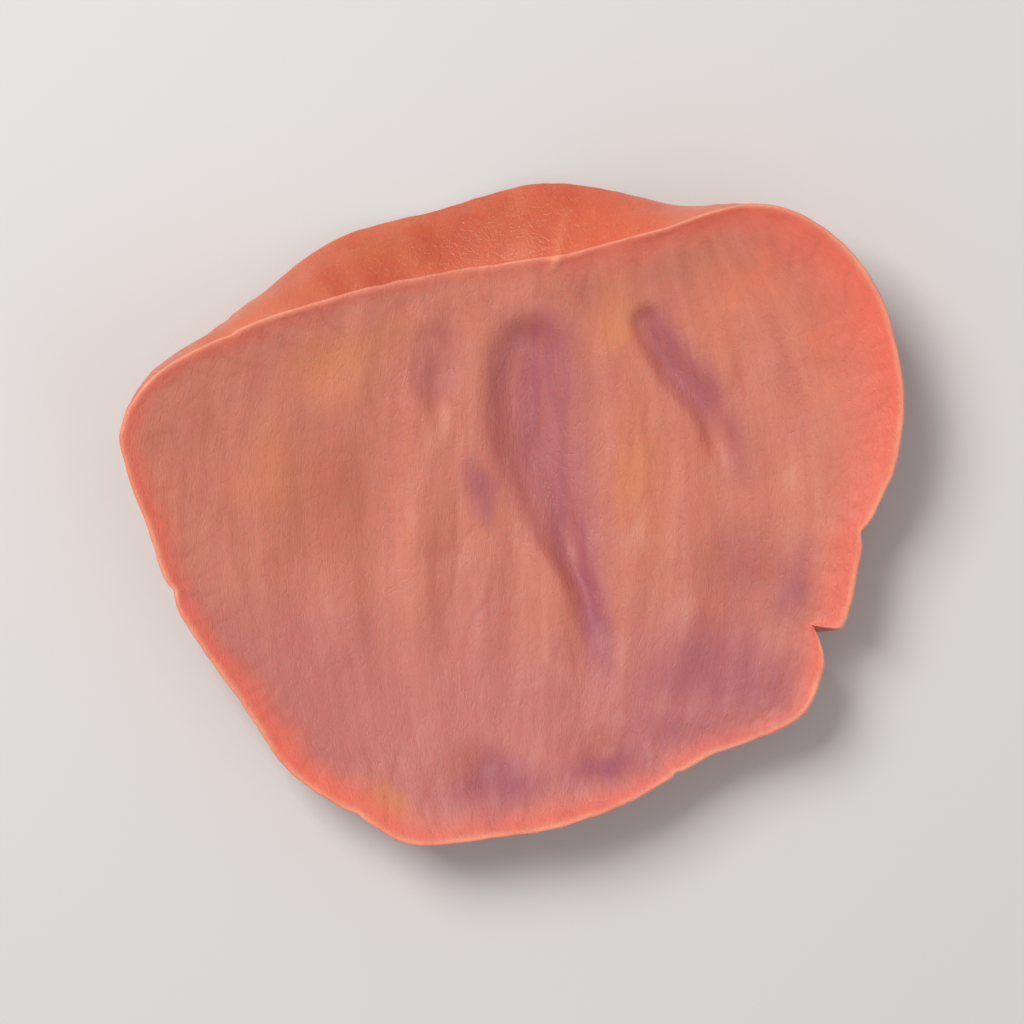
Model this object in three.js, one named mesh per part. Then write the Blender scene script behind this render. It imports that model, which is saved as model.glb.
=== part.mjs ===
// A dried persimmon slice, lying on its back with its better cut face up.
//
// Units are millimetres and +Z is up. +Y points to the shoulder of the fruit, where its stalk was,
// and the origin is on the surface under the middle of the slice's bounding box.
//
// The slice was cut along the fruit, a little off its core. Its front face crossed the dent round
// the stalk, so that face ends in a long flat shoulder. The back face lies further out, past the
// dent, so there it is fuller and the peel slopes outwards to it. Both faces sank in drying. The
// peel shrinks less than the flesh, so it stands round them as a raised and wavy rim.

import * as THREE from "three";
import { mergeVertices } from "three/addons/utils/BufferGeometryUtils.js";

const { degToRad, lerp, smoothstep, euclideanModulo } = THREE.MathUtils;

// Thickness, from the flesh in the middle out to the peel.
const FLESH_THICKNESS = 2.6;
const RIM_THICKNESS = 3.3;
const RIM_SHARE = 0.3; // the outer share of each radius over which flesh thickens into rim
const LIP_HEIGHT = 0.28; // how far the peel's cut edge stands above the flesh beside it
const LIP_SHARE = 0.08;
const PEEL_BULGE = 0.4;

// How the slice warped in drying: a shallow dish, a twist, and waves that grow towards the rim.
const DISH_ACROSS = 0.005; // rise for each square millimetre out from the middle
const DISH_ALONG = 0.0058;
const TWIST = -0.0014;
const RIM_WAVES = [
  { count: 2, rise: 0.35, turn: 20 },
  { count: 3, rise: 0.4, turn: -35 },
  { count: 5, rise: 0.22, turn: 125 },
];
const FLAT_DEPTH = 0.42; // how far the belly is pressed flat where it lay on the drying tray

// The front face's outline, anticlockwise from the right.
const FRONT_RIM = [
  [22.5, 2.5], [22.9, 7.0], [21.3, 13.0], [17.9, 16.7], [14.3, 17.9], [8.5, 16.4],
  [2.7, 15.0], [-4.4, 14.0], [-10.9, 12.4], [-17.0, 10.1], [-21.1, 7.7], [-22.9, 4.5],
  [-22.5, 2.2], [-21.4, -0.8], [-20.1, -4.8], [-16.0, -11.1], [-13.1, -15.3], [-9.0, -18.1],
  [-5.9, -19.6], [-1.1, -19.3], [4.9, -18.0], [11.2, -14.7], [14.2, -13.6], [17.2, -12.0],
  [18.5, -9.1], [19.9, -5.6], [20.6, -2.4], [21.4, 0.0],
];

// The back face's outline is drawn in from the front one, save at the shoulder, where it reaches
// past it in soft lobes. Angles are in degrees, anticlockwise from the right.
const BACK_INSET = 0.9;
const SHOULDER = { reach: 5.35, from: 53, to: 171, lean: 0.65 };
const SHOULDER_LOBES = { height: 0.42, at: 81, spacing: 45 };

// Nicks torn in the peel, each with its spread on either side.
const NICKS = [
  { at: -20.8, before: 5.0, after: 2.2, depth: 1.8 },
  { at: -3.7, before: 2.4, after: 2.6, depth: 0.45 },
  { at: 193.5, before: 1.8, after: 2.6, depth: 0.35 },
];
const NICK_SHARPNESS = 14;

// Seed chambers that the knife opened are sunk spindles, each along a curve given by its four
// control points and widest at its own share of its length. Hollows are broad and soft, where the
// flesh shrank most. ribs is the share of their full height that the ribs of flesh have on a face.
const FRONT_FACE = {
  chambers: [
    { line: [[1.4, 10.6], [-0.6, 4.5], [4.2, -1.5], [5.1, -10.0]], width: 3.0, widest: 0.24, depth: 1 },
    { line: [[7.7, 11.6], [8.4, 8.6], [12.0, 7.4], [12.6, 2.2]], width: 1.3, widest: 0.5, depth: 0.6 },
    { line: [[-4.9, 10.2], [-4.7, 8.4], [-4.4, 6.4], [-3.9, 4.2]], width: 1.8, widest: 0.25, depth: 0.35 },
  ],
  hollows: [
    { at: [-10.6, 0.6], size: [5.0, 7.6], depth: 0.34 },
    { at: [13.6, -4.2], size: [4.4, 5.0], depth: 0.28 },
    { at: [-1.5, -15.4], size: [3.2, 2.2], depth: 0.3 },
    { at: [5.2, -14.2], size: [3.4, 2.0], depth: 0.28 },
  ],
  ribs: 1,
};
const BACK_FACE = {
  chambers: [
    { line: [[-6.4, 10.4], [-9.6, 7.0], [-9.8, 0.8], [-6.6, -5.4]], width: 2.4, widest: 0.36, depth: 0.85 },
    { line: [[6.2, 11.6], [9.8, 8.2], [9.0, 1.6], [7.6, -4.4]], width: 2.1, widest: 0.4, depth: 0.75 },
  ],
  hollows: [
    { at: [1.2, 13.8], size: [5.2, 3.0], depth: 0.35 },
    { at: [-12.8, -4.8], size: [3.6, 5.4], depth: 0.3 },
    { at: [1.6, -13.2], size: [5.4, 2.8], depth: 0.3 },
  ],
  ribs: 0.5,
};
const CHAMBER_BLUNTNESS = 0.45; // below 1 the spindles' ends are round
const NARROWEST_CHAMBER = 1.1;
const CHAMBER_STEPS = 80;

// Ribs of flesh run along the fruit. They draw together towards its ends, as meridians do.
const RIBS = [
  { spacing: 4.2, height: 0.1, turn: 40 },
  { spacing: 6.7, height: 0.07, turn: 150 },
];
const RIB_POLE = 25; // how far from the middle, along the fruit, the ribs would meet
const RIB_REACH = 15; // how far out from the middle they fade away

// Fineness of the solid.
const CELLS_ACROSS = 44;
const PEEL_ROWS = 4;

// A closed outline as a smooth radius for any angle.
function radiusByAngle(outline) {
  const turn = 2 * Math.PI;
  const knots = outline
    .map(([x, y]) => ({ angle: euclideanModulo(Math.atan2(y, x), turn), radius: Math.hypot(x, y) }))
    .sort((a, b) => a.angle - b.angle);
  const knot = (i) => {
    const lap = Math.floor(i / knots.length);
    const { angle, radius } = knots[i - lap * knots.length];
    return { angle: angle + lap * turn, radius };
  };
  const slope = (i) => {
    const [before, after] = [knot(i - 1), knot(i + 1)];
    return (after.radius - before.radius) / (after.angle - before.angle);
  };
  return (angle) => {
    const around = euclideanModulo(angle, turn);
    const i = knots.filter((one) => one.angle <= around).length - 1;
    const [a, b] = [knot(i), knot(i + 1)];
    const span = b.angle - a.angle;
    const t = (around - a.angle) / span;
    const s = 1 - t;
    const level = a.radius * s * s * (1 + 2 * t) + b.radius * t * t * (1 + 2 * s);
    return level + span * t * s * (slope(i) * s - slope(i + 1) * t);
  };
}

const frontRadius = radiusByAngle(FRONT_RIM);

// How far the back face reaches past the front one.
function backReach(angle) {
  const from = degToRad(SHOULDER.from);
  const share = (euclideanModulo(angle, 2 * Math.PI) - from) / (degToRad(SHOULDER.to) - from);
  if (share <= 0 || share >= 1) return -BACK_INSET;
  const lobesTurn = (360 / SHOULDER_LOBES.spacing) * (angle - degToRad(SHOULDER_LOBES.at));
  const reach = SHOULDER.reach + SHOULDER_LOBES.height * Math.cos(lobesTurn);
  return reach * Math.sin(Math.PI * share ** SHOULDER.lean) - BACK_INSET;
}

function nickDepth(angle) {
  const depths = NICKS.map(({ at, before, after, depth }) => {
    const past = Math.sin(angle - degToRad(at));
    const facing = Math.cos(angle - degToRad(at)) > 0;
    const reach = degToRad(past < 0 ? before : after);
    return facing ? depth * Math.max(0, 1 - Math.abs(past) / reach) : 0;
  });
  return Math.max(...depths);
}

// The stations along a chamber's middle line, each with its place and its half width there.
function chamberStations({ line, width, widest }) {
  const curve = new THREE.CubicBezierCurve(...line.map((point) => new THREE.Vector2(...point)));
  const tailwards = (CHAMBER_BLUNTNESS * (1 - widest)) / widest;
  return Array.from({ length: CHAMBER_STEPS - 1 }, (_, i) => {
    const t = (i + 1) / CHAMBER_STEPS;
    const half = width * (t / widest) ** CHAMBER_BLUNTNESS * ((1 - t) / (1 - widest)) ** tailwards;
    const fullness = Math.min(1, (2 * half) / width);
    return { middle: curve.getPoint(t), half: Math.max(NARROWEST_CHAMBER, half), fullness };
  });
}

function withStations(face) {
  const chambers = face.chambers.map((chamber) => ({ ...chamber, stations: chamberStations(chamber) }));
  return { ...face, chambers };
}

const frontFace = withStations(FRONT_FACE);
const backFace = withStations(BACK_FACE);

// How far into a chamber a point is, from 0 outside it to 1 along its middle line.
function chamberShare(stations, point) {
  return stations.reduce((share, { middle, half, fullness }) => {
    const away = middle.distanceTo(point) / half;
    return Math.max(share, fullness * (1 - smoothstep(away, 0, 1.2)));
  }, 0);
}

function hollowShare({ at, size }, x, y) {
  return 1 - smoothstep(Math.hypot((x - at[0]) / size[0], (y - at[1]) / size[1]), 0, 1);
}

// How far a face lies below the smooth surface it would have with no chambers, hollows and ribs.
function sunkDepth({ chambers, hollows, ribs }, x, y) {
  const point = new THREE.Vector2(x, y);
  const chamber = Math.max(...chambers.map(({ stations, depth }) => depth * chamberShare(stations, point)));
  const hollow = Math.max(...hollows.map((one) => one.depth * hollowShare(one, x, y)));
  const across = x / Math.sqrt(1 - (y / RIB_POLE) ** 2);
  const waves = RIBS.map(({ spacing, height, turn }) =>
    height * Math.sin((2 * Math.PI * across) / spacing + degToRad(turn)));
  const fade = 1 - smoothstep(Math.hypot(0.8 * x, y), 0.6 * RIB_REACH, RIB_REACH);
  return chamber + hollow + ribs * fade * waves.reduce((sum, wave) => sum + wave, 0);
}

// The rise of the slice's middle surface above its lowest point.
function warp(x, y, share, angle) {
  const dish = DISH_ACROSS * x * x + DISH_ALONG * y * y + TWIST * x * y;
  const waves = RIM_WAVES.map(({ count, rise, turn }) => rise * Math.sin(count * angle + degToRad(turn)));
  return dish + share ** 4 * waves.reduce((sum, wave) => sum + wave, 0);
}

// A point of the slice. share runs from 0 at the middle to 1 at the peel, and level from -1 on the
// back face to 1 on the front face.
function slicePoint(share, angle, level) {
  const outline = frontRadius(angle) + (backReach(angle) * (1 - level)) / 2;
  const bulge = PEEL_BULGE * (1 - level * level);
  const radius = share * (outline + bulge) - share ** NICK_SHARPNESS * nickDepth(angle);
  const [x, y] = [radius * Math.cos(angle), radius * Math.sin(angle)];
  const rim = smoothstep(share, 1 - RIM_SHARE, 1);
  const lip = LIP_HEIGHT * smoothstep(share, 1 - LIP_SHARE, 1);
  const half = lerp(FLESH_THICKNESS, RIM_THICKNESS, rim) / 2 + lip;
  const middle = FLESH_THICKNESS / 2 - FLAT_DEPTH + warp(x, y, share, angle);
  const sunk = sunkDepth(level > 0 ? frontFace : backFace, x, y);
  return [x, y, Math.max(0, middle + level * (half - sunk))];
}

// A point of a square, two units wide, moved onto the round disc that fits inside it.
function squareToDisc(u, v) {
  return [u * Math.sqrt(1 - (v * v) / 2), v * Math.sqrt(1 - (u * u) / 2)];
}

// Each cell is split along the shorter of its diagonals, which leaves no slivers.
function splitCells(geometry) {
  const place = geometry.getAttribute("position");
  const point = (i) => new THREE.Vector3().fromBufferAttribute(place, i);
  const span = (i, j) => point(i).distanceTo(point(j));
  const corners = geometry.index.array;
  for (let i = 0; i < corners.length; i += 6) {
    const [a, b, d, , c] = corners.subarray(i, i + 6);
    if (span(a, c) < span(b, d)) corners.set([a, b, c, a, c, d], i);
  }
}

// A box two units wide, with its cells, is pulled onto the slice: its top becomes the front face,
// its bottom the back face, and its four sides the peel.
function sliceGeometry() {
  const box = new THREE.BoxGeometry(2, 2, 2, CELLS_ACROSS, CELLS_ACROSS, PEEL_ROWS);
  const place = box.getAttribute("position");
  for (let i = 0; i < place.count; i += 1) {
    const [across, along] = squareToDisc(place.getX(i), place.getY(i));
    const share = Math.min(1, Math.hypot(across, along));
    place.setXYZ(i, ...slicePoint(share, Math.atan2(along, across), place.getZ(i)));
  }
  splitCells(box);
  box.deleteAttribute("normal");
  box.deleteAttribute("uv");
  const slice = mergeVertices(box, 1e-4);
  slice.computeBoundingBox();
  const middle = slice.boundingBox.getCenter(new THREE.Vector3());
  slice.translate(-middle.x, -middle.y, 0);
  slice.computeVertexNormals();
  return slice;
}

const driedFlesh = new THREE.MeshStandardMaterial({ color: 0xcf7a5c, roughness: 0.55, metalness: 0 });

const slice = new THREE.Mesh(sliceGeometry(), driedFlesh);
slice.name = "persimmon_slice";

const part = new THREE.Group();
part.add(slice);

export default part;
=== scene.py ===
"""A dried persimmon slice that lies on its back, on a pale table under soft light.

The slice is one closed skin, made from the part's own outlines, chambers and rim waves, with the
fine forms of dried fruit on it: strands of flesh, creases in the seed chambers, puckers beside the
peel, the peel's upright folds and the thin crest of its cut edge. Shape numbers are in millimetres,
as a maker would measure them, and become metres when the mesh is made.
"""

import math

import bpy
import numpy as np
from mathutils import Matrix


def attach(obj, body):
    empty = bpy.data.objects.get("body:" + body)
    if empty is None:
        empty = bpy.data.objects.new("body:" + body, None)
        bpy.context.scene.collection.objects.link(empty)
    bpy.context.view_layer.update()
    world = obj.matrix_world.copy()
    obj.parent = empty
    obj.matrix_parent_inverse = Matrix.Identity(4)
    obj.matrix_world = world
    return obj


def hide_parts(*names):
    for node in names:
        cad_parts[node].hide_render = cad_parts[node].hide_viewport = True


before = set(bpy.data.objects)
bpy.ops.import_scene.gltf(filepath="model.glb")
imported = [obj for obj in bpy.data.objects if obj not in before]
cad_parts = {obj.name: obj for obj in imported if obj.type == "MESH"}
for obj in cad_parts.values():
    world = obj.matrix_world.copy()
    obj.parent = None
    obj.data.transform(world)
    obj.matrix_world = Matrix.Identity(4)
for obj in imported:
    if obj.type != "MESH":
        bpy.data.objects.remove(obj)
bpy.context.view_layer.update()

MM = 0.001

# Thickness, from the flesh in the middle out to the peel.
FLESH_THICKNESS = 2.6
RIM_THICKNESS = 3.3
RIM_SHARE = 0.3
LIP_HEIGHT = 0.28
LIP_SHARE = 0.08
LIP_STEEPNESS = 1.8
PEEL_BULGE = 0.4

# How the slice warped in drying.
DISH_ACROSS = 0.005
DISH_ALONG = 0.0058
TWIST = -0.0014
RIM_WAVES = ((2, 0.35, 20), (3, 0.4, -35), (5, 0.22, 125))  # count, rise, turn in degrees
FLAT_DEPTH = 0.42

# The front face's outline, anticlockwise from the right.
FRONT_RIM = (
    (22.5, 2.5), (22.9, 7.0), (21.3, 13.0), (17.9, 16.7), (14.3, 17.9), (8.5, 16.4),
    (2.7, 15.0), (-4.4, 14.0), (-10.9, 12.4), (-17.0, 10.1), (-21.1, 7.7), (-22.9, 4.5),
    (-22.5, 2.2), (-21.4, -0.8), (-20.1, -4.8), (-16.0, -11.1), (-13.1, -15.3), (-9.0, -18.1),
    (-5.9, -19.6), (-1.1, -19.3), (4.9, -18.0), (11.2, -14.7), (14.2, -13.6), (17.2, -12.0),
    (18.5, -9.1), (19.9, -5.6), (20.6, -2.4), (21.4, 0.0),
)
BACK_INSET = 0.9
SHOULDER_REACH = 5.35
SHOULDER_FROM, SHOULDER_TO = 53, 171
SHOULDER_LEAN = 0.65
LOBE_HEIGHT, LOBE_AT, LOBE_SPACING = 0.42, 81, 45

# Nicks in the peel: angle, spread before and after it, depth. The last three are only in this script.
NICKS = (
    (-20.8, 5.0, 2.2, 1.8), (-3.7, 2.4, 2.6, 0.45), (193.5, 1.8, 2.6, 0.35),
    (148.0, 1.2, 2.0, 0.14), (243.0, 1.4, 0.9, 0.16), (302.0, 1.0, 1.6, 0.14),
)
NICK_SPREAD, NICK_ROUNDNESS = 1.3, 1.6  # the lobes beside a nick are round, so it is wider here
NICK_SHARPNESS, WALL_SHARPNESS, HOOK_SHARPNESS = 14, 18, 24  # how close to the peel each stays
HOOK_AT, HOOK_SPREAD, HOOK_LEAN = -17.6, 2.4, 1.7  # degrees; the lobe above the deepest nick leans over it
TEAR_WANDER, TEAR_LEAN, TEAR_WAVE = 0.006, 0.02, 0.01  # radians, along a nick and down through the peel

# Seed chambers: the control points of the middle line, half width, where it is widest, depth, how
# deep its colour is, and from where along it the colour fades out.
FRONT_CHAMBERS = (
    (((1.4, 10.6), (-0.6, 4.5), (4.2, -1.5), (5.1, -10.0)), 3.0, 0.24, 1.0, 1.0, 0.9),
    (((7.7, 11.6), (8.4, 8.6), (12.0, 7.4), (12.6, 2.2)), 1.3, 0.5, 0.6, 0.85, 0.6),
    (((-4.9, 10.2), (-4.7, 8.4), (-4.4, 6.4), (-3.9, 4.2)), 1.8, 0.25, 0.35, 0.32, 0.4),
)
BACK_CHAMBERS = (
    (((-6.4, 10.4), (-9.6, 7.0), (-9.8, 0.8), (-6.6, -5.4)), 2.4, 0.36, 0.85, 0.9, 0.7),
    (((6.2, 11.6), (9.8, 8.2), (9.0, 1.6), (7.6, -4.4)), 2.1, 0.4, 0.75, 0.8, 0.6),
)
CHAMBER_BLUNTNESS = 0.45
NARROWEST_CHAMBER = 1.1
NARROWEST_STAIN = 1.0
STAIN_SHADE_SHIFT = 0.45  # the stain is moved right, as painted shade on a chamber's right side
CHAMBER_BEND = 0.22  # how far the chambers' edges wander
CHAMBER_STEPS = 160

# Broad soft hollows: middle, size, depth.
FRONT_HOLLOWS = (
    ((-10.6, 0.6), (5.0, 7.6), 0.34), ((13.6, -4.2), (4.4, 5.0), 0.28),
    ((-1.5, -15.4), (3.2, 2.2), 0.3), ((5.2, -14.2), (3.4, 2.0), 0.28),
)
BACK_HOLLOWS = (
    ((1.2, 13.8), (5.2, 3.0), 0.35), ((-12.8, -4.8), (3.6, 5.4), 0.3),
    ((1.6, -13.2), (5.4, 2.8), 0.3),
)

# Ribs of flesh run along the fruit and draw together towards its ends.
RIBS = ((4.2, 0.1, 40), (6.7, 0.07, 150))  # spacing, height, turn in degrees
RIB_POLE = 25
RIB_REACH = 15
BACK_RIBS = 0.5

# Coloured patches of the front face: middle, size, turn in degrees, strength.
RIPE_PATCHES = (
    ((5.6, 10.7), (2.0, 3.6), -8, 1.0), ((7.2, 2.5), (2.8, 9.0), 4, 0.45),
    ((-9.5, 8.6), (6.4, 3.8), 20, 0.55), ((-14.0, 2.0), (4.0, 7.0), 0, 0.4),
    ((-7.4, -17.2), (2.8, 1.7), -30, 0.9),
)
CORAL_PATCHES = (((13.8, 12.8), (5.5, 4.2), 25, 0.8), ((18.0, 9.0), (3.4, 5.2), 0, 0.8))
# Purplish patches: stains in places, painted shadows beside the chambers at (-2.2, 1.4) and (13.4, 3.2),
# and painted shade along the lower edge.
PLUM_AND_SHADE_PATCHES = (
    ((-2.2, 1.4), (1.6, 2.9), 10, 0.8), ((-1.2, -16.0), (4.2, 2.6), 10, 1.0),
    ((5.4, -14.9), (4.6, 1.9), 14, 0.95), ((9.6, -12.7), (3.8, 2.0), 25, 0.65),
    ((16.9, -4.6), (2.0, 3.8), -15, 0.7), ((14.0, -9.8), (3.8, 4.4), 30, 0.75),
    ((11.2, -9.8), (6.6, 5.2), 30, 0.7), ((13.6, -2.8), (2.6, 4.2), 0, 0.4),
    ((-5.1, 8.3), (2.1, 2.3), 0, 0.3), ((13.4, 3.2), (2.2, 3.2), 0, 0.3),
    ((4.7, -6.4), (1.0, 3.6), 12, 0.5),
)
# Pale streaks of flesh, partly painted sheen on the ridges between the chambers.
PALE_AND_SHEEN_PATCHES = (
    ((16.0, 1.5), (0.9, 1.4), 0, 0.6), ((7.5, -1.3), (0.7, 2.2), 6, 0.5),
    ((10.0, -6.0), (0.7, 2.8), -14, 0.45), ((3.2, -2.2), (0.4, 2.2), 14, 0.35),
    ((-4.1, 4.6), (0.6, 2.6), 0, 0.5), ((-4.4, 8.4), (1.1, 1.2), 0, 0.4),
    ((3.2, -9.6), (0.5, 3.6), 10, 0.35), ((-4.6, -10.5), (0.6, 4.4), 2, 0.35),
    ((-1.2, -9.5), (0.5, 3.8), 4, 0.3), ((6.6, -9.0), (1.2, 3.0), 6, 0.35),
)
ROSY_BELOW = 0.0  # flesh turns rosier from here towards the bottom of the fruit
ROSY_FULL = -13.0

# The peel's edge round the front face: angle in degrees, how far in its reddish glow reaches, how
# strong the glow is, and how bright the cut edge itself is. The glow is the flesh's deeper colour beside
# the peel together with a painted glow of light through the thin edge; the cut edge's brightness is a
# painted highlight.
RIM_GLOW = (
    (0, 2.9, 0.8, 1.0), (26, 3.8, 1.0, 1.0), (45, 4.2, 0.85, 0.9), (60, 3.0, 0.6, 0.7), (80, 1.3, 0.4, 0.4),
    (105, 1.1, 0.3, 0.25), (130, 1.2, 0.4, 0.7), (165, 1.5, 0.6, 0.9), (190, 1.6, 0.7, 1.0),
    (215, 1.8, 0.85, 1.0), (235, 2.4, 1.0, 1.0), (262, 2.0, 0.6, 1.0), (290, 1.8, 0.8, 1.0),
    (315, 1.5, 0.6, 0.9), (335, 1.8, 0.8, 0.9),
)

PEEL_GLOW_AT, PEEL_GLOW_SPREAD = 66, 17  # the shoulder's peel is painted brighter and redder round here, in degrees

# Fine forms. Heights and widths are in millimetres.
OUTLINE_WOBBLE = 0.09
STRAND_HEIGHT = 0.05
SWELL_HEIGHT = 0.13
CREASE_DEPTH = 0.1
CREASE_WIDTH = 0.55
CREASE_SPREAD = 0.2
FIBRE_HEIGHT = 0.05
WRINKLE_DEPTH = 0.045
FOLD_DEPTH = 0.32
SAG_HEIGHT = 0.12
PUCKER_HEIGHT = 0.1
PUCKER_REACH = 3.4
PORE_DEPTH = 0.03
SHOULDER_TAUTNESS = 0.8  # the peel's folds are weaker over the shoulder, by this share
CREST_HEIGHT = 0.09
CREST_PLACE, CREST_WIDTH = 0.26, 0.24
EDGE_ROUNDING = 0.13
BACK_EDGE = 0.8  # the crest is lower on the back face
CUT_EDGE_PLACE, CUT_EDGE_WIDTH = 0.1, 0.24
DIMPLE_DEPTH, PRESSED_DEPTH = 0.05, 0.1  # dimples stay in the belly where it was pressed flat

# A small upright flake on the cut edge behind the chambers.
TICK_ANGLE, TICK_RADIUS = 79.8, 15
TICK_HEIGHT, TICK_WIDTH = 0.3, 0.3
TICK_PLACE, TICK_LENGTH = 0.45, 0.5

# How many of each form there are round the slice, coarse before fine.
WOBBLES = 44, 110
SAGS = 30
TEAR_WAVES = 9
PUCKERS = 46, 104
FOLDS = 38, 64, 150
FOLD_LEANS = 24
CRESTS = 52
RADIAL_CREASES = 70
RIM_WANDERS = 22, 70

# The picture: the table and the width that the camera takes in, in metres.
TABLE_WIDTH = 3.0
FRAME_WIDTH = 60.5 * MM
SLICE_TOP = 3 * MM

# Fineness of the mesh.
PATCH_CELLS = 152
PATCH_SHARE = 0.66
PATCH_ROUNDNESS = 0.3
RINGS = 34
PEEL_ROWS = 12


def smoothstep(value, low, high):
    share = np.clip((value - low) / (high - low), 0, 1)
    return share * share * (3 - 2 * share)


def hump(value, middle, width):
    """A soft bump, 1 at middle and nearly 0 two widths away."""
    return np.exp(-(((value - middle) / width) ** 2))


def waves(across, along, seed, turns=None):
    """Smooth random waves, about one to a unit and -1 to 1. With turns they close round across."""
    lean = np.random.default_rng(seed).uniform(0, 2 * np.pi, (512, 256))
    lean_across, lean_along = np.cos(lean), np.sin(lean)
    across, along = np.broadcast_arrays(across, along)
    column, row = np.floor(across).astype(int), np.floor(along).astype(int)
    u, v = across - column, along - row

    def slope_from(right, up):
        corner = (column + right) % (turns or 512), (row + up) % 256
        return lean_across[corner] * (u - right) + lean_along[corner] * (v - up)

    ease_u, ease_v = (t * t * t * (t * (6 * t - 15) + 10) for t in (u, v))
    below = slope_from(0, 0) * (1 - ease_u) + slope_from(1, 0) * ease_u
    above = slope_from(0, 1) * (1 - ease_u) + slope_from(1, 1) * ease_u
    return 1.6 * (below * (1 - ease_v) + above * ease_v)


def radius_by_angle(outline):
    """A closed outline as a smooth radius for any angle."""
    turn = 2 * np.pi
    points = np.array(outline)
    order = np.argsort(np.arctan2(points[:, 1], points[:, 0]) % turn)
    knot = (np.arctan2(points[:, 1], points[:, 0]) % turn)[order]
    radius = np.hypot(points[:, 0], points[:, 1])[order]
    slope = (np.roll(radius, -1) - np.roll(radius, 1)) / ((np.roll(knot, -1) - np.roll(knot, 1)) % turn)

    def radius_at(angle):
        a = np.searchsorted(knot, angle % turn, side="right") - 1
        b = (a + 1) % len(knot)
        span = (knot[b] - knot[a]) % turn
        t = ((angle - knot[a]) % turn) / span
        s = 1 - t
        level = radius[a] * s * s * (1 + 2 * t) + radius[b] * t * t * (1 + 2 * s)
        return level + span * t * s * (slope[a] * s - slope[b] * t)

    return radius_at


front_radius = radius_by_angle(FRONT_RIM)


def back_reach(angle):
    """How far the back face reaches past the front one."""
    low, high = math.radians(SHOULDER_FROM), math.radians(SHOULDER_TO)
    share = np.clip((angle % (2 * np.pi) - low) / (high - low), 0, 1)
    lobes = LOBE_HEIGHT * np.cos(360 / LOBE_SPACING * (angle - math.radians(LOBE_AT)))
    return (SHOULDER_REACH + lobes) * np.sin(np.pi * share**SHOULDER_LEAN) - BACK_INSET


def nick_depth(angle):
    deepest = np.zeros_like(angle)
    for at, before, after, depth in NICKS:
        past = np.sin(angle - math.radians(at))
        facing = np.cos(angle - math.radians(at)) > 0
        reach = NICK_SPREAD * np.radians(np.where(past < 0, before, after))
        nearness = np.maximum(0, 1 - np.abs(past) / reach)
        deepest = np.maximum(deepest, facing * depth * nearness**NICK_ROUNDNESS)
    return deepest


def hooked(angle, share):
    """The angle with the peel's lobe above the deepest nick leaning down over it."""
    past = np.degrees(np.sin(angle - math.radians(HOOK_AT)))
    beside = hump(past, 0, HOOK_SPREAD) * (np.cos(angle) > 0)
    return angle - math.radians(HOOK_LEAN) * beside * share**HOOK_SHARPNESS


def chamber_fields(chamber, x, y):
    """How deep a point is in a chamber, how stained it is, how near the crease along its middle,
    and how far to the right of that."""
    line, width, widest, _depth, _tint, fade = chamber
    tailwards = CHAMBER_BLUNTNESS * (1 - widest) / widest
    share, stain, crease = np.zeros_like(x), np.zeros_like(x), np.zeros_like(x)
    nearest, rightwards = np.full_like(x, np.inf), np.zeros_like(x)
    for t in np.arange(1, CHAMBER_STEPS) / CHAMBER_STEPS:
        weights = (1 - t) ** 3, 3 * t * (1 - t) ** 2, 3 * t * t * (1 - t), t**3
        line_x, line_y = (sum(w * p for w, p in zip(weights, places)) for places in zip(*line))
        half = width * (t / widest) ** CHAMBER_BLUNTNESS * ((1 - t) / (1 - widest)) ** tailwards
        fullness = min(1, 2 * half / width)
        stain_half = max(NARROWEST_STAIN, 1.1 * half)
        half = max(NARROWEST_CHAMBER, half)
        distance = np.hypot(x - line_x, y - line_y)
        ending = smoothstep(t, 0, 0.07) * (1 - smoothstep(t, 0.8, 1.02))
        share = np.maximum(share, ending * fullness * (1 - smoothstep(distance / half, 0, 1.2)))
        away = np.hypot(x - line_x - STAIN_SHADE_SHIFT, y - line_y) / stain_half
        wash = 0.65 * (1 - smoothstep(away, 0.55, 1.45)) + 0.35 * (1 - smoothstep(away, 0.1, 0.9))
        colouring = smoothstep(t, -0.02, 0.06) * (1 - smoothstep(t, fade, 1.05))
        stain = np.maximum(stain, colouring * wash)
        along = math.sin(math.pi * min(1, 1.25 * t)) if t < 0.8 else 0
        crease = np.maximum(crease, along * hump(distance, 0, CREASE_WIDTH))
        rightwards = np.where(distance < nearest, np.sign(x - line_x) * distance, rightwards)
        nearest = np.minimum(nearest, distance)
    return share, stain, crease, rightwards


def spot_share(middle, size, x, y, turn=0):
    """A soft oval spot, 1 in its middle and 0 past its size."""
    cos, sin = math.cos(math.radians(turn)), math.sin(math.radians(turn))
    along_x, along_y = x - middle[0], y - middle[1]
    across, along = along_x * cos + along_y * sin, along_y * cos - along_x * sin
    return 1 - smoothstep(np.hypot(across / size[0], along / size[1]), 0, 1)


def patches(spots, x, y, seed):
    """Soft patches with edges that wander, as a mask."""
    bent_x = x + 0.45 * waves(x / 1.6, y / 2.4, seed) + 0.9 * waves(x / 4.5, y / 6, seed + 1)
    bent_y = y + 0.9 * waves(x / 2.2 + 9, y / 3.2, seed + 2)
    mask = np.zeros_like(x)
    for middle, size, turn, strength in spots:
        mask = np.maximum(mask, strength * spot_share(middle, size, bent_x, bent_y, turn))
    return mask


def meridian_across(x, y):
    """The place across the ribs, which draw together towards the fruit's ends."""
    return x / np.sqrt(1 - (y / RIB_POLE) ** 2)


def ribs(x, y):
    across = meridian_across(x, y)
    fade = 1 - smoothstep(np.hypot(0.8 * x, y), 0.6 * RIB_REACH, RIB_REACH)
    height = sum(
        rise * np.sin(2 * np.pi * across / spacing + math.radians(turn)) for spacing, rise, turn in RIBS
    )
    return fade * height


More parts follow.
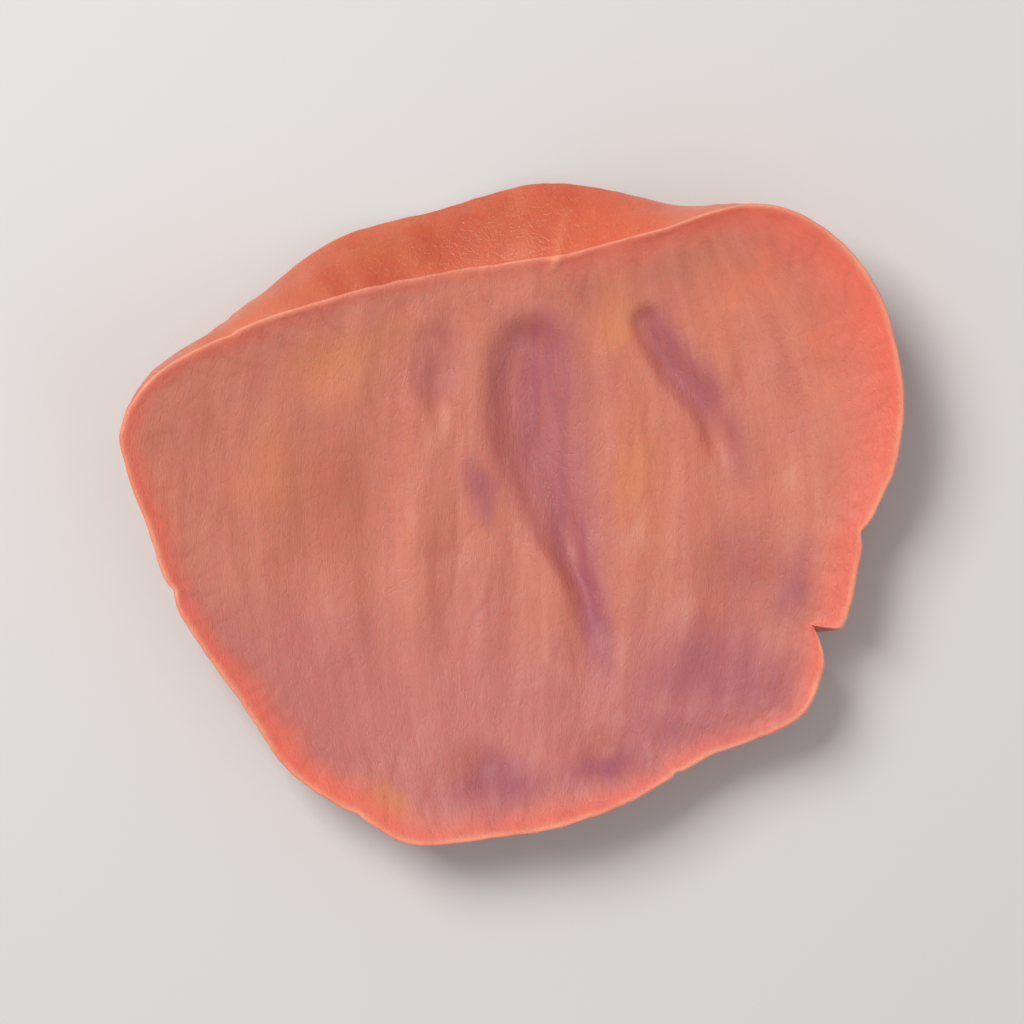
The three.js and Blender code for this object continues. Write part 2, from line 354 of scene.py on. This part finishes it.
def warp(x, y, share, angle):
    """The rise of the slice's middle surface above its lowest point."""
    dish = DISH_ACROSS * x * x + DISH_ALONG * y * y + TWIST * x * y
    rim = sum(rise * np.sin(count * angle + math.radians(turn)) for count, rise, turn in RIM_WAVES)
    return dish + share**4 * rim


def creases(across, along, seed, turns=None):
    """A net of thin valleys between smooth pillows, from 0 to 1."""
    half_turns, twice_turns = (turns // 2, turns * 2) if turns else (None, None)
    bend = 0.4 * waves(across / 2, along / 2, seed + 7, half_turns)
    first = 1 - np.abs(waves(across + bend, along - bend, seed, turns)) / CREASE_SPREAD
    second = 1 - np.abs(waves(2 * across, 2 * along + bend, seed + 1, twice_turns)) / CREASE_SPREAD
    return np.clip(np.maximum(first, 0.6 * second), 0, 1) ** 1.5


def strands(x, y, seed):
    """Fine fibres of flesh along the fruit, as a height from about -1 to 1."""
    across = meridian_across(x, y)
    drift = 0.5 * waves(across / 4, y / 7, seed)
    broad = waves(across / 1.25 + drift, y / 9, seed + 1)
    fine = waves(across / 0.55 + 2 * drift, y / 5, seed + 2)
    return 0.62 * broad + 0.38 * fine


def puckers(angle, inset, seed):
    """Small folds that run inwards from the peel, which is too long for the shrunken flesh."""
    around = angle / (2 * np.pi)
    coarse, fine = PUCKERS
    return (
        0.65 * waves(around * coarse, inset / 4 + 9, seed, coarse)
        + 0.35 * waves(around * fine, inset / 2.5 + 9, seed + 1, fine)
    )


def peel_folds(angle, level):
    """How deep the peel's upright folds are between its two edges, from 0 to 1."""
    around = angle / (2 * np.pi)
    swells, folds, lines = FOLDS
    lean = 0.35 * waves(around * FOLD_LEANS, level + 3, 66, FOLD_LEANS)
    coarse = 0.5 - 0.5 * waves(around * swells + 0.2 * lean, 0.8 * level + 7, 61, swells)
    valleys = creases(around * folds + lean, 0.7 * level + 7, 62, folds)
    fine = creases(around * lines + lean, 1.6 * level + 7, 63, lines)
    return 0.5 * coarse + 0.3 * valleys + 0.2 * fine


def edge_height(angle, inset, seed):
    """The peel's cut edge: a thin uneven crest, rounded off at the outside."""
    uneven = 0.5 + 0.7 * waves(angle / (2 * np.pi) * CRESTS, 3.5, seed, CRESTS)
    crest = CREST_HEIGHT * uneven * hump(inset, CREST_PLACE, CREST_WIDTH)
    out = np.clip(1 - inset / EDGE_ROUNDING, 0, 1)
    return crest - EDGE_ROUNDING * (1 - np.sqrt(1 - out * out))


def face_fields(chambers, hollows, x, y):
    """How much of a chamber and a crease there is at each point, the painted shade of the broad hollows,
    and the depth of all.
    """
    depth, chamber, crease = np.zeros_like(x), np.zeros_like(x), np.zeros_like(x)
    bent_x = x + CHAMBER_BEND * waves(x / 2.6, y / 3.4, 5)
    for one in chambers:
        share, stain, line, rightwards = chamber_fields(one, bent_x, y)
        crisp = 0.6 * share + 0.4 * smoothstep(share, 0, 0.8)
        fibres = waves(rightwards / 0.6, y / 7, 61) * smoothstep(share, 0.1, 0.6)
        _line, _width, _widest, deep, tint, _fade = one
        floor = deep * crisp + CREASE_DEPTH * line * smoothstep(share, 0.3, 0.8)
        depth = np.maximum(depth, floor - FIBRE_HEIGHT * fibres)
        # Painted shade: each chamber's colour is deeper towards its right side.
        shade = 0.84 + 0.16 * smoothstep(rightwards, -0.6, 1.6) - 0.2 * np.clip(fibres, 0, 1)
        chamber = np.maximum(chamber, tint * stain * shade)
        # The crease mask darkens the colour along the groove: partly the chamber's darker core, partly
        # painted shade.
        crease = np.maximum(crease, tint * line)
    # Painted shade: the flesh is coloured darker in the broad hollows.
    hollow_shade = np.zeros_like(x)
    sunk = np.zeros_like(x)
    for middle, size, deep in hollows:
        share = spot_share(middle, size, x, y)
        hollow_shade = np.maximum(hollow_shade, share)
        sunk = np.maximum(sunk, deep * share)
    return depth + sunk, chamber, crease, hollow_shade


def peel_wall(angle, level):
    """How strong the peel's folds are, and how far out they and its uneven growth move it."""
    around = angle / (2 * np.pi)
    upright = 1 - level**2  # 1 halfway down the peel, 0 at its two cut edges
    coarse, fine = WOBBLES
    wobble = (
        0.6 * waves(around * coarse, 0.6 * level + 5, 3, coarse)
        + 0.4 * waves(around * fine, level + 5, 4, fine)
    )
    sag = SAG_HEIGHT * upright * waves(around * SAGS, 1.2 * level + 9, 7, SAGS)
    tautness = SHOULDER_TAUTNESS * smoothstep(back_reach(angle), -0.5, 2.5)
    folds = (1 - tautness) * peel_folds(angle, level)
    return folds, OUTLINE_WOBBLE * wobble + sag - FOLD_DEPTH * (0.2 + 0.8 * upright) * folds


def torn_depth(share, angle, level):
    """How far in the nicks are torn. They wander inwards and on their way through the peel."""
    down = 1 - level
    torn = angle + TEAR_WANDER * waves(share * 60, level * 2 + 5, 6) * smoothstep(share, 0.8, 1)
    wave = waves(angle / (2 * np.pi) * TEAR_WAVES, 1.6 * level + 5, 8, TEAR_WAVES)
    return (0.8 + 0.2 * level) * nick_depth(torn + TEAR_LEAN * down + TEAR_WAVE * wave * down)


def face_relief(x, y, angle, inset, is_front):
    """The fine relief of a face and its broader swell, with how high its fibres and how deep its
    creases are."""
    fibres = np.where(is_front, strands(x, y, 11), strands(x, y, 21))
    fibre_room = smoothstep(inset, 0.8, 3.5)
    folded = np.where(is_front, puckers(angle, inset, 31), puckers(angle, inset, 41))
    beside_peel = hump(inset, 1.1, PUCKER_REACH / 2)
    pores = waves(x / 0.8, y / 0.8, 51) * waves(x / 2.3 + 5, y / 2.3, 52)

    wrinkled = creases(x / 1.7, y / 7.5, 57) * smoothstep(waves(x / 5, y / 7, 58), -0.2, 0.6)
    around = angle / (2 * np.pi)
    radial = creases(around * RADIAL_CREASES, inset / 3.2, 59, RADIAL_CREASES) * hump(inset, 1.6, 1.5)
    valleys = wrinkled * fibre_room + radial

    relief = STRAND_HEIGHT * fibres * fibre_room + PUCKER_HEIGHT * folded * beside_peel
    relief = relief + PORE_DEPTH * pores - WRINKLE_DEPTH * valleys
    swells = 0.65 * waves(x / 3.6, y / 5, 53) + 0.35 * waves(x / 1.7, y / 2.3, 54)
    return relief, SWELL_HEIGHT * swells * smoothstep(inset, 0.3, 4), fibres, valleys


def flake(angle, inset, is_front):
    """How far a small flake of the cut edge stands up."""
    away = np.abs((angle - math.radians(TICK_ANGLE) + np.pi) % (2 * np.pi) - np.pi) * TICK_RADIUS
    upright = TICK_HEIGHT * hump(away, 0, TICK_WIDTH) * hump(inset, TICK_PLACE, TICK_LENGTH)
    return np.where(is_front, upright, 0)


def rim_masks(angle, inset, tick):
    """Where the flesh glows beside the peel, partly a painted glow, and the cut edge's painted highlight.
    """
    around = angle / (2 * np.pi)
    coarse, fine = RIM_WANDERS
    degrees, *rim_values = np.array(RIM_GLOW).T
    reach, glow, bright = (np.interp(np.degrees(angle), degrees, v, period=360) for v in rim_values)
    reach = reach * (
        1 + 0.25 * waves(around * coarse, 1.5, 81, coarse) + 0.2 * waves(around * fine, 1.5, 82, fine)
    )
    broken = bright * (0.8 + 0.4 * waves(around * fine, 1.5, 83, fine))
    # Painted highlight along the crest of the cut edge and on its flake.
    cut = hump(inset, CUT_EDGE_PLACE, CUT_EDGE_WIDTH) * broken
    return glow * (1 - smoothstep(inset / reach, 0.15, 1.2)), np.clip(cut + 3 * tick, 0, 1)


def slice_points(share, angle, level):
    """Places of the slice's points, and the masks and vectors that its materials read.

    share runs from 0 in the middle to 1 at the peel, level from -1 on the back face to 1 on the front.
    """
    reach = back_reach(angle)
    outline = front_radius(angle) + reach * (1 - level) / 2
    folds, wall_shift = peel_wall(angle, level)
    radius = share * (outline + PEEL_BULGE * (1 - level**2))
    radius -= share**NICK_SHARPNESS * torn_depth(share, angle, level)
    radius += share**WALL_SHARPNESS * wall_shift
    x, y = radius * np.cos(hooked(angle, share)), radius * np.sin(hooked(angle, share))
    inset = (1 - share) * outline

    is_front = level > 0
    front = face_fields(FRONT_CHAMBERS, FRONT_HOLLOWS, x, y)
    back = face_fields(BACK_CHAMBERS, BACK_HOLLOWS, x, y)
    sunk, chamber, crease, hollow_shade = (np.where(is_front, f, b) for f, b in zip(front, back))
    sunk = sunk + np.where(is_front, 1, BACK_RIBS) * ribs(x, y)
    relief, swell, fibres, valleys = face_relief(x, y, angle, inset, is_front)

    rim = smoothstep(share, 1 - RIM_SHARE, 1)
    lip = LIP_HEIGHT * np.clip((share - 1 + LIP_SHARE) / LIP_SHARE, 0, 1) ** LIP_STEEPNESS
    edge = np.where(is_front, edge_height(angle, inset, 71), BACK_EDGE * edge_height(angle, inset, 72))
    tick = flake(angle, inset, is_front)
    half = (FLESH_THICKNESS + (RIM_THICKNESS - FLESH_THICKNESS) * rim) / 2 + lip + edge + tick
    middle = FLESH_THICKNESS / 2 - FLAT_DEPTH + warp(x, y, share, angle)
    z = middle + level * (half - sunk + relief + swell)
    pressed = smoothstep(-z, 0, PRESSED_DEPTH)
    z = np.maximum(z, DIMPLE_DEPTH * smoothstep(-relief, 0, 0.08) * ~is_front * pressed)

    rim_glow, edge_highlight = rim_masks(angle, inset, tick)
    masks = {
        "rim": rim_glow,
        "edge": edge_highlight,
        "chamber": chamber,
        "crease": crease,
        "hollow_shade": hollow_shade,
        "side": 1 - level**2,
        # Painted shade in the valleys of the flesh's wrinkles and of the peel's folds.
        "valley_shade": np.where(share < 0.999, valleys, smoothstep(folds, 0.3, 0.75)),
        "strand": 0.5 + 0.5 * fibres,
        "ripe": face_patches(RIPE_PATCHES, x, y, is_front, 91),
        "coral": face_patches(CORAL_PATCHES, x, y, is_front, 95),
        "plum_and_shade": face_patches(PLUM_AND_SHADE_PATCHES, x, y, is_front, 92),
        "pale": face_patches(PALE_AND_SHEEN_PATCHES, x, y, is_front, 93),
        "sunlit": hump(np.degrees(angle), PEEL_GLOW_AT, PEEL_GLOW_SPREAD),
        "rosy": 1 - smoothstep(y + 2 * waves(x / 5, y / 5, 94), ROSY_FULL, ROSY_BELOW),
    }
    wall = np.hypot(reach, RIM_THICKNESS) / 2
    vectors = {
        "grain": np.stack([meridian_across(x, y), y, z], axis=-1),
        "skin": np.stack([outline * np.cos(angle), wall * level, outline * np.sin(angle)], axis=-1),
    }
    return np.stack([x, y, z], axis=-1), masks, vectors


def face_patches(front_spots, x, y, is_front, seed):
    """The front face's own patches, and freely scattered ones on the hidden back face."""
    scattered = 0.6 * smoothstep(waves(x / 4 + 3, y / 6, seed + 50), 0.15, 0.8)
    return np.where(is_front, patches(front_spots, x, y, seed), scattered)


def disc_grid():
    """Points of a round disc and its four-sided cells: a square patch inside rings.

    Returns the points, the cells, and the indices of the outermost ring, anticlockwise.
    """
    side = np.linspace(-1, 1, PATCH_CELLS + 1)
    v, u = np.meshgrid(side, side, indexing="ij")
    patch_x = PATCH_SHARE * u * np.sqrt(1 - PATCH_ROUNDNESS * v * v)
    patch_y = PATCH_SHARE * v * np.sqrt(1 - PATCH_ROUNDNESS * u * u)
    index = np.arange((PATCH_CELLS + 1) ** 2).reshape(PATCH_CELLS + 1, -1)
    cells = [np.stack([index[:-1, :-1], index[:-1, 1:], index[1:, 1:], index[1:, :-1]], -1).reshape(-1, 4)]

    right, top = index[:, -1], index[-1, ::-1]
    left, bottom = index[::-1, 0], index[0, :]
    ring = np.concatenate([right[:-1], top[:-1], left[:-1], bottom[:-1]])
    inner = np.stack([patch_x.ravel()[ring], patch_y.ravel()[ring]], -1)
    angle = (np.arange(len(ring)) / len(ring) - 0.125) * 2 * np.pi
    outer = np.stack([np.cos(angle), np.sin(angle)], -1)

    points = [np.stack([patch_x.ravel(), patch_y.ravel()], -1)]
    count = len(points[0])
    for step in range(1, RINGS + 1):
        t = step / RINGS
        t = 1.45 * t - 0.45 * t * t  # rings lie closer towards the peel
        points.append(inner * (1 - t) + outer * t)
        new = count + np.arange(len(ring))
        cells.append(np.stack([ring, new, np.roll(new, -1), np.roll(ring, -1)], -1))
        ring, count = new, count + len(new)
    return np.concatenate(points), np.concatenate(cells), ring


def slice_surface():
    """Points as share, angle and level, with the cells of both faces and of the peel between."""
    disc, cells, rim = disc_grid()
    share = np.minimum(1, np.hypot(disc[:, 0], disc[:, 1]))
    angle = np.arctan2(disc[:, 1], disc[:, 0])
    count = len(disc)
    shares, angles = [share, share], [angle, angle]
    levels = [np.ones(count), -np.ones(count)]
    all_cells = [cells, cells[:, ::-1] + count]

    above, total = rim, 2 * count
    for row in range(1, PEEL_ROWS + 1):
        if row < PEEL_ROWS:
            level = math.cos(math.pi * row / PEEL_ROWS)
            shares.append(np.ones(len(rim)))
            angles.append(angle[rim])
            levels.append(np.full(len(rim), level))
            below = total + np.arange(len(rim))
            total += len(rim)
        else:
            below = rim + count
        all_cells.append(np.stack([above, below, np.roll(below, -1), np.roll(above, -1)], -1))
        above = below
    peel_start = 2 * len(cells)
    return (
        np.concatenate(shares), np.concatenate(angles), np.concatenate(levels),
        np.concatenate(all_cells), peel_start,
    )


def dried_slice(flesh, peel):
    """The slice as one closed mesh, its cut faces in flesh and its side in peel."""
    share, angle, level, cells, peel_start = slice_surface()
    places, masks, vectors = slice_points(share, angle, level)
    middle = (places[:, :2].min(0) + places[:, :2].max(0)) / 2
    places[:, :2] -= middle

    mesh = bpy.data.meshes.new("dried_slice")
    mesh.from_pydata((places * MM).tolist(), [], cells.tolist())
    mesh.polygons.foreach_set("use_smooth", np.ones(len(cells), bool))
    mesh.materials.append(flesh)
    mesh.materials.append(peel)
    mesh.polygons.foreach_set("material_index", (np.arange(len(cells)) >= peel_start).astype(np.int32))
    for name, values in masks.items():
        mesh.attributes.new(name, "FLOAT", "POINT").data.foreach_set("value", values.astype(np.float32))
    for name, values in vectors.items():
        mesh.attributes.new(name, "FLOAT_VECTOR", "POINT").data.foreach_set(
            "vector", values.astype(np.float32).ravel())
    mesh.update()

    piece = bpy.data.objects.new("dried_slice", mesh)
    bpy.context.scene.collection.objects.link(piece)
    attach(piece, "root")
    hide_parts("persimmon_slice")
    return piece


def linear(red, green, blue):
    """A colour as seen on a screen, from 0 to 255, made linear."""
    shares = [c / 255 for c in (red, green, blue)]
    return tuple(c / 12.92 if c <= 0.04045 else ((c + 0.055) / 1.055) ** 2.4 for c in shares) + (1,)


def plug(tree, value, socket):
    """Gives a socket a link from another node, or a plain value."""
    if isinstance(value, bpy.types.NodeSocket):
        tree.links.new(value, socket)
    elif value is not None:
        socket.default_value = value


def attribute(tree, name, output="Fac"):
    node = tree.nodes.new("ShaderNodeAttribute")
    node.attribute_name = name
    return node.outputs[output]


def stretched(tree, vector, scale):
    node = tree.nodes.new("ShaderNodeVectorMath")
    node.operation = "MULTIPLY"
    plug(tree, vector, node.inputs[0])
    node.inputs[1].default_value = scale
    return node.outputs[0]


def noise(tree, vector, scale, detail, roughness, distortion=0.0):
    node = tree.nodes.new("ShaderNodeTexNoise")
    plug(tree, vector, node.inputs["Vector"])
    node.inputs["Scale"].default_value = scale
    node.inputs["Detail"].default_value = detail
    node.inputs["Roughness"].default_value = roughness
    node.inputs["Distortion"].default_value = distortion
    return node.outputs["Fac"]


def remap(tree, value, low, high, to_low=0.0, to_high=1.0):
    node = tree.nodes.new("ShaderNodeMapRange")
    node.interpolation_type = "SMOOTHSTEP"
    plug(tree, value, node.inputs["Value"])
    for name, number in zip(("From Min", "From Max", "To Min", "To Max"), (low, high, to_low, to_high)):
        plug(tree, number, node.inputs[name])
    return node.outputs["Result"]


def math_node(tree, operation, a, b=None):
    node = tree.nodes.new("ShaderNodeMath")
    node.operation = operation
    plug(tree, a, node.inputs[0])
    plug(tree, b, node.inputs[1])
    return node.outputs[0]


def mixed(tree, share, a, b):
    node = tree.nodes.new("ShaderNodeMix")
    node.data_type = "RGBA"
    plug(tree, share, node.inputs["Factor"])
    plug(tree, a, node.inputs[6])
    plug(tree, b, node.inputs[7])
    return node.outputs[2]


def new_group(name, inputs, outputs):
    """An empty node group with float or vector inputs and float outputs."""
    group = bpy.data.node_groups.new(name, "ShaderNodeTree")
    for label, kind, value in inputs:
        socket = group.interface.new_socket(label, in_out="INPUT", socket_type=kind)
        if value is not None:
            socket.default_value = value
    for label in outputs:
        group.interface.new_socket(label, in_out="OUTPUT", socket_type="NodeSocketFloat")
    return group, group.nodes.new("NodeGroupInput"), group.nodes.new("NodeGroupOutput")


def dried_grain_group():
    """What flesh and peel share, from a place in millimetres with the grain along its Y.

    Streaks and Mottle are soft masks, Threads are thin fibres, Specks are small dark points, and
    Height is the fine relief of fibres, grains and shrink wrinkles.
    """
    group, given, made = new_group(
        "Dried grain",
        [("Vector", "NodeSocketVector", None), ("Fineness", "NodeSocketFloat", 1.0)],
        ["Streaks", "Mottle", "Threads", "Specks", "Height"],
    )
    sized = group.nodes.new("ShaderNodeVectorMath")
    sized.operation = "SCALE"
    group.links.new(given.outputs["Vector"], sized.inputs[0])
    group.links.new(given.outputs["Fineness"], sized.inputs["Scale"])
    place = sized.outputs[0]
    streaks = noise(group, stretched(group, place, (0.9, 0.11, 0.5)), 1.0, 3.0, 0.5, 0.4)
    mottle = noise(group, stretched(group, place, (0.26, 0.18, 0.3)), 1.0, 3.0, 0.6)
    fibres = noise(group, stretched(group, place, (2.6, 0.22, 1.5)), 1.0, 2.0, 0.5)
    threads = ridge(group, fibres, 0.035)
    grains = noise(group, place, 6.0, 2.0, 0.6)
    net = noise(group, stretched(group, place, (1.5, 0.9, 1.5)), 1.0, 2.0, 0.5)
    wrinkles = ridge(group, net, 0.05)
    height = math_node(group, "MULTIPLY", threads, 0.25)
    height = math_node(group, "ADD", height, math_node(group, "MULTIPLY", grains, 0.5))
    height = math_node(group, "SUBTRACT", height, math_node(group, "MULTIPLY", wrinkles, 0.3))
    for name, value in (
        ("Streaks", remap(group, streaks, 0.3, 0.72)),
        ("Mottle", remap(group, mottle, 0.3, 0.7)),
        ("Threads", threads),
        ("Specks", remap(group, grains, 0.64, 0.74)),
        ("Height", height),
    ):
        group.links.new(value, made.inputs[name])
    return group


def ridge(tree, value, width):
    """Thin lines where a noise crosses its middle value."""
    away = math_node(tree, "ABSOLUTE", math_node(tree, "SUBTRACT", value, 0.5))
    return remap(tree, away, 0.0, width, 1.0, 0.0)


def use_group(tree, group, vector, fineness):
    node = tree.nodes.new("ShaderNodeGroup")
    node.node_tree = group
    plug(tree, vector, node.inputs["Vector"])
    node.inputs["Fineness"].default_value = fineness
    return node.outputs


def bumped(tree, height, strength, distance):
    node = tree.nodes.new("ShaderNodeBump")
    node.inputs["Strength"].default_value = strength
    node.inputs["Distance"].default_value = distance
    plug(tree, height, node.inputs["Height"])
    return node.outputs["Normal"]


def bare_material(name):
    material = bpy.data.materials.new(name)
    material.use_nodes = True
    tree = material.node_tree
    return material, tree, tree.nodes["Principled BSDF"]


def part_of(tree, value, share):
    return math_node(tree, "MULTIPLY", value, share)


def layered(tree, colour, layers):
    """Lays colours over one another, each where its mask says and by its share."""
    for mask, share, tint in layers:
        colour = mixed(tree, part_of(tree, mask, share), colour, linear(*tint))
    return colour


def uneven(tree, name, noise_mask, low, high):
    """A mask of the mesh, thinned by some noise."""
    thinned = remap(tree, noise_mask, 0.0, 1.0, low, high)
    return math_node(tree, "MULTIPLY", attribute(tree, name), thinned)


def flesh_colour(tree, grain, plum_and_shade):
    """Salmon, streaked along the fruit, coral and painted glow by the peel, purplish chambers, painted
    shade.
    """
    streaks, mottle = grain["Streaks"], grain["Mottle"]
    threads = math_node(tree, "MULTIPLY", grain["Threads"], attribute(tree, "strand"))
    return layered(tree, mixed(tree, streaks, linear(208, 120, 103), linear(220, 134, 114)), (
        (mottle, 0.5, (218, 131, 99)),
        (attribute(tree, "rosy"), 0.65, (200, 118, 116)),
        # Painted shade, darker in the broad hollows.
        (attribute(tree, "hollow_shade"), 0.6, (188, 100, 82)),
        (uneven(tree, "ripe", mottle, 0.5, 1.0), 0.75, (230, 144, 84)),
        (uneven(tree, "coral", mottle, 0.5, 1.0), 0.75, (242, 130, 92)),
        # The flesh's deeper colour beside the peel, with a painted glow of light through the thin edge.
        (attribute(tree, "rim"), 0.95, (246, 117, 94)),
        # Purplish brown chambers, deeper on their right as painted shade.
        (uneven(tree, "chamber", streaks, 0.95, 0.7), 1.0, (174, 97, 110)),
        # Purplish stains, with painted shadows and painted shade along the lower edge.
        (plum_and_shade, 1.0, (160, 82, 102)),
        # Darker along each chamber's middle crease: partly its darker core, partly painted shade in the
        # groove.
        (attribute(tree, "crease"), 0.35, (154, 80, 88)),
        (threads, 0.16, (233, 158, 130)),
        # Painted shade in the flesh's wrinkles and creases.
        (attribute(tree, "valley_shade"), 0.25, (176, 84, 66)),
        (grain["Specks"], 0.22, (150, 74, 60)),
        # Pale streaks, partly painted sheen on the ridges.
        (uneven(tree, "pale", streaks, 0.4, 1.0), 0.6, (236, 168, 142)),
        # Painted highlight along the cut edge.
        (attribute(tree, "edge"), 0.8, (250, 168, 136)),
    ))


def flesh_material(grain_group):
    """Sun-dried flesh: nearly matt, a little smoother in the chambers and duller on the purplish, partly
    shaded patches.
    """
    material, tree, shader = bare_material("dried_flesh")
    grain = use_group(tree, grain_group, attribute(tree, "grain", "Vector"), 1.0)
    plum_and_shade = uneven(tree, "plum_and_shade", grain["Mottle"], 0.7, 1.0)
    plug(tree, flesh_colour(tree, grain, plum_and_shade), shader.inputs["Base Color"])

    rough = remap(tree, grain["Mottle"], 0.0, 1.0, 0.47, 0.58)
    rough = math_node(tree, "SUBTRACT", rough, part_of(tree, attribute(tree, "chamber"), 0.08))
    rough = math_node(tree, "ADD", rough, part_of(tree, plum_and_shade, 0.16))
    plug(tree, rough, shader.inputs["Roughness"])
    plug(tree, remap(tree, grain["Streaks"], 0.1, 0.9, 0.02, 0.1), shader.inputs["Coat Weight"])
    shader.inputs["Coat Roughness"].default_value = 0.28
    shader.inputs["Specular IOR Level"].default_value = 0.36
    soft_inside(shader, 0.4, (1.0, 0.32, 0.16), 1.8 * MM)
    plug(tree, bumped(tree, grain["Height"], 0.5, 0.09 * MM), shader.inputs["Normal"])
    return material


def peel_material(grain_group):
    """Dried peel: orange red, glossier than the flesh, with fine upright wrinkles and pores."""
    material, tree, shader = bare_material("dried_peel")
    grain = use_group(tree, grain_group, attribute(tree, "skin", "Vector"), 0.8)
    streaks, mottle = grain["Streaks"], grain["Mottle"]
    browned = math_node(tree, "MULTIPLY", attribute(tree, "side"), remap(tree, mottle, 0.2, 0.8, 0.15, 0.6))
    colour = layered(tree, mixed(tree, mottle, linear(192, 72, 45), linear(217, 98, 58)), (
        (streaks, 0.3, (186, 66, 46)),
        (browned, 1.0, (186, 78, 34)),
        (attribute(tree, "sunlit"), 0.6, (230, 90, 50)),
        (grain["Threads"], 0.2, (226, 124, 78)),
        # Painted shade in the peel's fold valleys.
        (attribute(tree, "valley_shade"), 0.65, (142, 48, 28)),
        (grain["Specks"], 0.45, (116, 48, 28)),
        # Painted highlight along the peel's cut edge.
        (attribute(tree, "edge"), 0.5, (240, 146, 106)),
    ))
    plug(tree, colour, shader.inputs["Base Color"])
    plug(tree, remap(tree, mottle, 0.0, 1.0, 0.32, 0.45), shader.inputs["Roughness"])
    plug(tree, remap(tree, streaks, 0.0, 1.0, 0.4, 0.16), shader.inputs["Coat Weight"])
    shader.inputs["Coat Roughness"].default_value = 0.22
    soft_inside(shader, 0.3, (1.0, 0.28, 0.13), 1.5 * MM)
    plug(tree, bumped(tree, grain["Height"], 0.55, 0.09 * MM), shader.inputs["Normal"])
    return material


def soft_inside(shader, weight, radius, scale):
    """Light goes a little way in and comes out reddish, as in all juicy things."""
    shader.subsurface_method = "BURLEY"
    shader.inputs["Subsurface Weight"].default_value = weight
    shader.inputs["Subsurface Radius"].default_value = radius
    shader.inputs["Subsurface Scale"].default_value = scale


def table_material():
    """A plain pale matt top."""
    material, tree, shader = bare_material("pale_table")
    shader.inputs["Base Color"].default_value = linear(226, 224, 221)
    shader.inputs["Roughness"].default_value = 0.7
    return material


def table():
    mesh = bpy.data.meshes.new("table")
    half = TABLE_WIDTH / 2
    corners = [(-half, -half, 0), (half, -half, 0), (half, half, 0), (-half, half, 0)]
    mesh.from_pydata(corners, [], [(0, 1, 2, 3)])
    mesh.materials.append(table_material())
    floor = bpy.data.objects.new("table", mesh)
    bpy.context.scene.collection.objects.link(floor)


def soft_lamp(name, place, size, power, colour):
    """A square soft box that faces the slice."""
    data = bpy.data.lights.new(name, "AREA")
    data.shape = "SQUARE"
    data.size = size
    data.energy = power
    data.color = colour
    lamp = bpy.data.objects.new(name, data)
    lamp.location = place
    x, y, z = place
    flat = math.hypot(x, y)
    lamp.rotation_euler = (math.atan2(flat, z), 0, math.atan2(x, -y))
    bpy.context.scene.collection.objects.link(lamp)


def studio():
    """Soft cool light from all round, a warm soft box at the upper left, a weak one at the lower right."""
    world = bpy.data.worlds.new("studio")
    world.use_nodes = True
    sky = world.node_tree.nodes["Background"]
    sky.inputs["Color"].default_value = (0.93, 0.95, 1.0, 1)
    sky.inputs["Strength"].default_value = 0.34
    bpy.context.scene.world = world
    soft_lamp("key", (-0.18, 0.17, 0.31), 0.2, 1.22, (1.0, 0.97, 0.94))
    soft_lamp("fill", (0.3, -0.22, 0.25), 0.3, 0.25, (0.95, 0.97, 1.0))


def overhead_camera():
    """Looks straight down on the slice, as the photograph does."""
    data = bpy.data.cameras.new("overhead")
    data.lens = 135
    data.sensor_width = 36
    data.clip_start = 0.01
    camera = bpy.data.objects.new("overhead", data)
    camera.location = (0, 0, SLICE_TOP + FRAME_WIDTH * data.lens / data.sensor_width)
    bpy.context.scene.collection.objects.link(camera)
    bpy.context.scene.camera = camera


bpy.context.scene.view_settings.view_transform = "Standard"
grain_group = dried_grain_group()
dried_slice(flesh_material(grain_group), peel_material(grain_group))
table()
studio()
overhead_camera()
